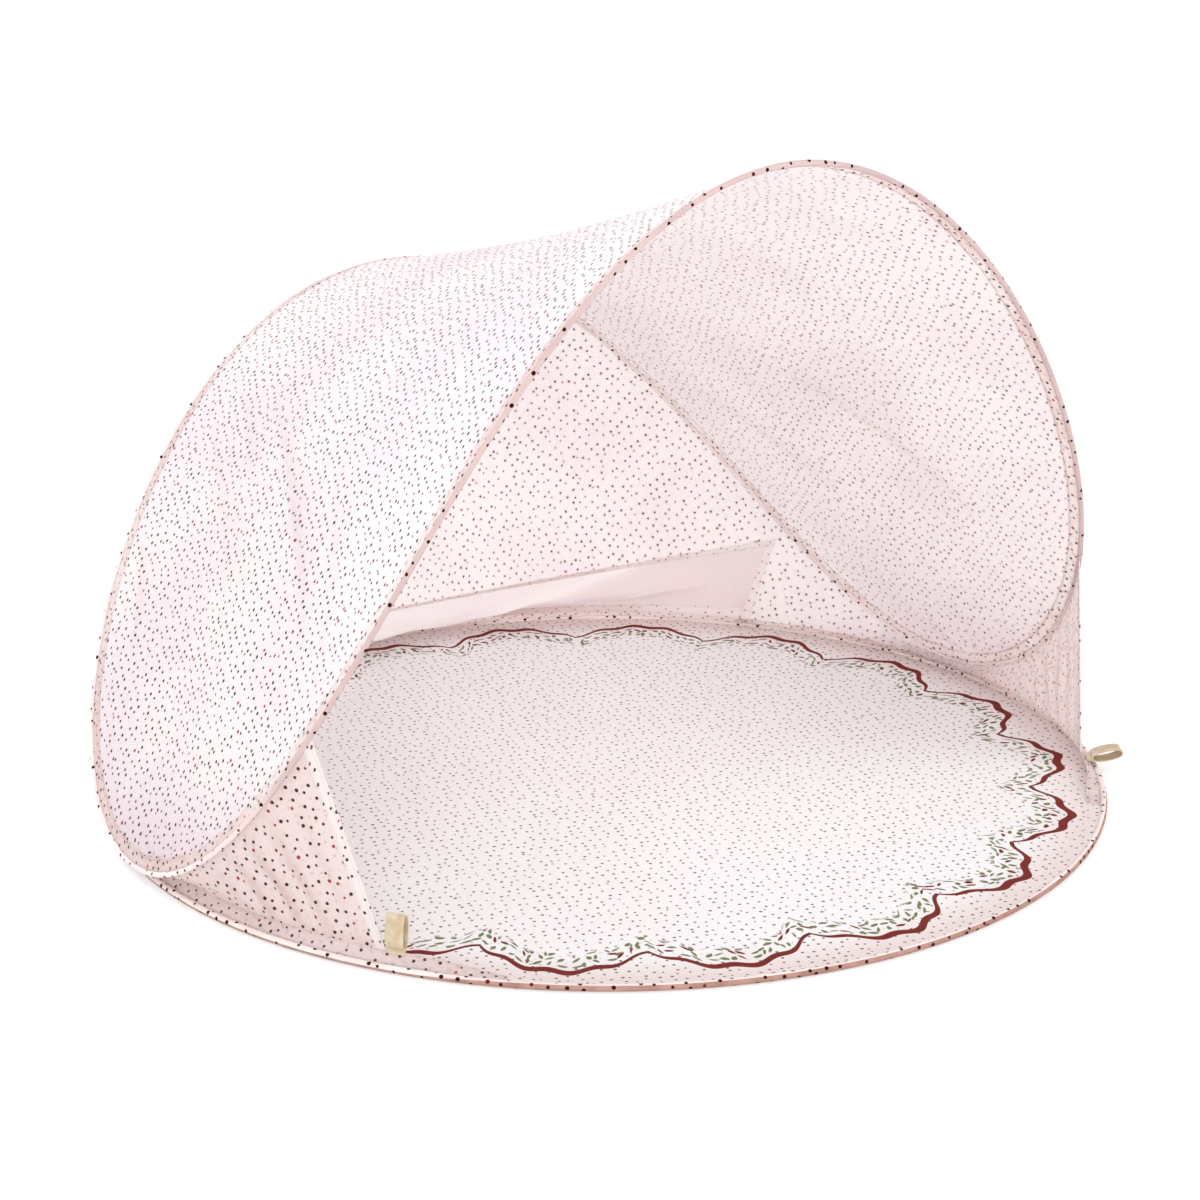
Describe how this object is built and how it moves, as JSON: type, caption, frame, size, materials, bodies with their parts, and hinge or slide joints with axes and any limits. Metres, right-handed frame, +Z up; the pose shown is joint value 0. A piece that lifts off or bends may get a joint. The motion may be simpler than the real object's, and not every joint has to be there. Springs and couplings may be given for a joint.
{
  "type": "beach tent",
  "caption": "Round pop-up beach shelter: a saddle-shaped sprung canopy over a round sewn-in floor, with a low net window at the back and webbing peg loops.",
  "frame": {"origin": "on the ground at the middle of the round floor", "axes": "+Z up, -Y out through the doorway, +X to the right for someone who looks in the direction of +Y"},
  "size_m": [1.4894, 1.4596, 0.9595],
  "materials": {
    "dotted_cloth": "matt woven polyester with a small dot print",
    "channel_tape": "matt woven polyester with a sparse dot print",
    "floor_cloth": "matt woven polyester with a dot print and a printed border",
    "coated_cloth": "coated woven polyester",
    "hem_cloth": "matt woven polyester, folded and stitched",
    "white_net": "fine knitted net",
    "cotton_webbing": "undyed woven cotton tape",
    "spring_steel": "drawn wire",
    "crimped_steel": "drawn tube, crimped"
  },
  "bodies": {
    "ground": {"back_wall": "dotted_cloth", "canopy_channel_foot_left": "channel_tape", "canopy_channel_foot_right": "channel_tape", "canopy_wire_foot_left": "spring_steel", "canopy_wire_foot_right": "spring_steel", "floor_hoop_channel": "dotted_cloth", "floor_hoop_ferrule": "crimped_steel", "floor_hoop_wire": "spring_steel", "floor_panel": "floor_cloth", "front_gusset_left": "dotted_cloth", "front_gusset_right": "dotted_cloth", "ground_sheet": "coated_cloth", "gusset_hem_left": "hem_cloth", "gusset_hem_right": "hem_cloth", "rear_side_panel_left": "dotted_cloth", "rear_side_panel_right": "dotted_cloth", "roof_panel": "dotted_cloth", "window_hem": "hem_cloth", "window_net": "white_net"},
    "front_arch": {"canopy_wire_front": "spring_steel", "canopy_channel_front": "channel_tape", "canopy_hoop_ferrule": "crimped_steel"},
    "rear_arch": {"canopy_wire_rear": "spring_steel", "canopy_channel_rear": "channel_tape"},
    "peg_loop_front_left": {"peg_loop_front_left": "cotton_webbing"},
    "peg_loop_front_right": {"peg_loop_front_right": "cotton_webbing"},
    "peg_loop_rear_left": {"peg_loop_rear_left": "cotton_webbing"},
    "peg_loop_rear_right": {"peg_loop_rear_right": "cotton_webbing"}
  },
  "joints": [
    {"name": "front_arch_fold", "type": "hinge", "parent": "ground", "child": "front_arch", "pos_m": [0, -0.29681, 0.29338], "axis": [-1, 0, 0], "range_deg": [0, 85], "stiffness_Nm_per_rad": 10, "deforming": ["roof_panel"]},
    {"name": "rear_arch_fold", "type": "hinge", "parent": "ground", "child": "rear_arch", "pos_m": [0, -0.29681, 0.29338], "axis": [-1, 0, 0], "range_deg": [0, 20], "stiffness_Nm_per_rad": 10, "deforming": ["back_wall", "rear_side_panel_left", "rear_side_panel_right", "canopy_wire_foot_left", "canopy_wire_foot_right", "canopy_channel_foot_left", "canopy_channel_foot_right"]},
    {"name": "peg_loop_front_left_turn", "type": "hinge", "parent": "ground", "child": "peg_loop_front_left", "pos_m": [-0.5947, -0.39213, 0.02064], "axis": [-0.5505, 0.8348, 0], "range_deg": [-105, 40]},
    {"name": "peg_loop_front_right_turn", "type": "hinge", "parent": "ground", "child": "peg_loop_front_right", "pos_m": [0.5947, -0.39213, 0.02064], "axis": [-0.5505, -0.8348, 0], "range_deg": [-21, 124]},
    {"name": "peg_loop_rear_left_turn", "type": "hinge", "parent": "ground", "child": "peg_loop_rear_left", "pos_m": [-0.5763, 0.41871, 0.02064], "axis": [0.5878, 0.809, 0], "range_deg": [-13, 56]},
    {"name": "peg_loop_rear_right_turn", "type": "hinge", "parent": "ground", "child": "peg_loop_rear_right", "pos_m": [0.5763, 0.41871, 0.02064], "axis": [0.5878, -0.809, 0], "range_deg": [-29, 40]}
  ],
  "couplings": [
    {"joint": "rear_arch_fold", "follows": "front_arch_fold", "ratio": 0.235}
  ]
}
